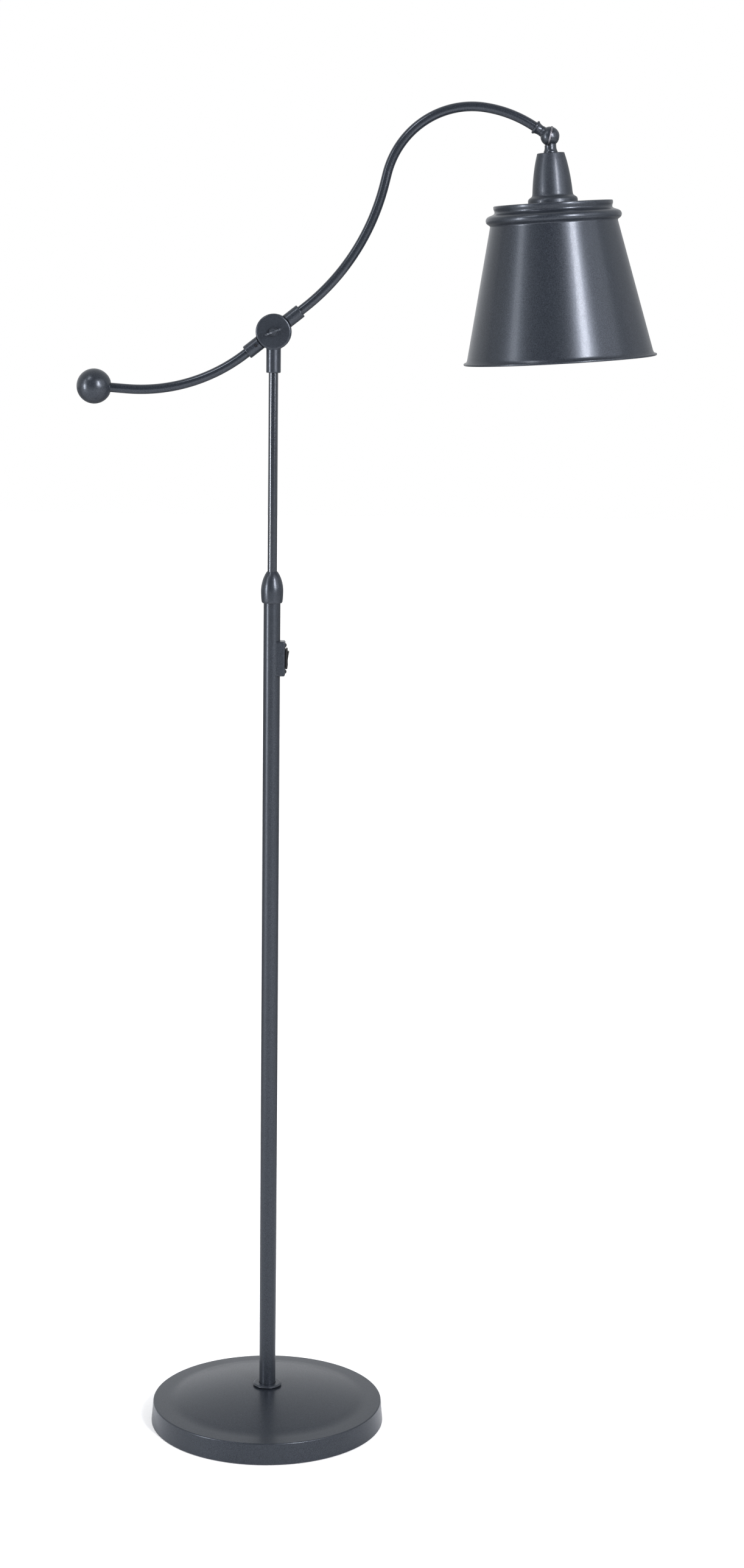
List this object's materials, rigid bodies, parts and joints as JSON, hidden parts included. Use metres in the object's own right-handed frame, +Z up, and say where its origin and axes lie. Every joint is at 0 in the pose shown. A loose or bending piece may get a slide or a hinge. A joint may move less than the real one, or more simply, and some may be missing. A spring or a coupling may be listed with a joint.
{
  "type": "pharmacy floor lamp",
  "caption": "Floor lamp with a weighted round base, telescoping mast, counterweighted bent arm and a tilting metal shade.",
  "frame": {"origin": "on the floor, under the mast, at the centre of the felt pad's underside", "axes": "+Z up the mast; +X towards the shade; -Y is the front, where the wing knob is"},
  "size_m": [0.6323, 0.27, 1.4994],
  "materials": {
    "painted_metal": "satin",
    "bright_steel": "satin",
    "iron": "matte",
    "black_plastic": "gloss",
    "white_plastic": "satin",
    "felt": "matte",
    "socket_brass": "satin",
    "frosted_glass": "satin"
  },
  "bodies": {
    "stand": {"felt_pad": "felt", "base_weight": "iron", "base_cover": "painted_metal", "cord_inlet_bush": "black_plastic", "base_nut": "bright_steel", "base_lock_washer": "bright_steel", "mast_nipple": "bright_steel", "foot_ring": "painted_metal", "pole_insert": "bright_steel", "lower_tube": "painted_metal", "coupling_collar": "painted_metal", "switch_housing": "painted_metal", "switch_body": "black_plastic", "switch_screw_top": "bright_steel", "switch_screw_bottom": "bright_steel"},
    "rocker": {"switch_rocker": "black_plastic"},
    "swivel_bush": {"guide_bush": "white_plastic"},
    "mast": {"upper_tube": "painted_metal", "tube_end_grommet": "black_plastic", "pivot_yoke": "painted_metal", "mast_set_screw": "bright_steel", "pivot_friction_washer": "felt"},
    "knob": {"wing_knob": "painted_metal", "pivot_bolt": "bright_steel"},
    "arm": {"pivot_hub": "painted_metal", "right_set_screw": "bright_steel", "left_set_screw": "bright_steel", "pivot_nut": "bright_steel", "left_arm_tube": "painted_metal", "right_arm_tube": "painted_metal", "counterweight_ball": "painted_metal", "arm_lock_collar": "painted_metal"},
    "knuckle": {"knuckle_arm_half": "painted_metal", "knuckle_ring": "bright_steel", "knuckle_screw": "bright_steel"},
    "head": {"knuckle_head_half": "painted_metal", "head_nipple": "bright_steel", "cup_nut": "bright_steel", "socket_cup": "painted_metal", "socket_body": "black_plastic", "socket_screw_shell": "socket_brass", "socket_contact": "socket_brass", "shade": "painted_metal", "shade_ring": "black_plastic", "bulb_cap": "socket_brass", "bulb_glass": "frosted_glass"}
  },
  "joints": [
    {"name": "rocker_press", "type": "hinge", "parent": "stand", "child": "rocker", "pos_m": [0.014, 0, 0.8944], "axis": [0, -1, 0], "range_deg": [0, 10]},
    {"name": "mast_swivel", "type": "hinge", "parent": "stand", "child": "swivel_bush", "pos_m": [0, 0, 0.97], "axis": [0, 0, 1], "range_deg": [-170, 170]},
    {"name": "height_slide", "type": "slide", "parent": "swivel_bush", "child": "mast", "axis": [0, 0, 1], "range_m": [-0.2, 0.15]},
    {"name": "knob_turn", "type": "hinge", "parent": "mast", "child": "knob", "pos_m": [0, 0, 1.2527], "axis": [0, -1, 0], "range_deg": [0, 270]},
    {"name": "arm_tilt", "type": "hinge", "parent": "mast", "child": "arm", "pos_m": [0, 0, 1.2527], "axis": [0, 1, 0], "range_deg": [-4, 60]},
    {"name": "knuckle_swivel", "type": "hinge", "parent": "arm", "child": "knuckle", "pos_m": [0.29556, 0, 1.46385], "axis": [0.8572, 0, -0.515], "range_deg": [-60, 60]},
    {"name": "shade_tilt", "type": "hinge", "parent": "knuckle", "child": "head", "pos_m": [0.29556, 0, 1.46385], "axis": [0.9816, 0, -0.1908], "range_deg": [-60, 60]}
  ]
}
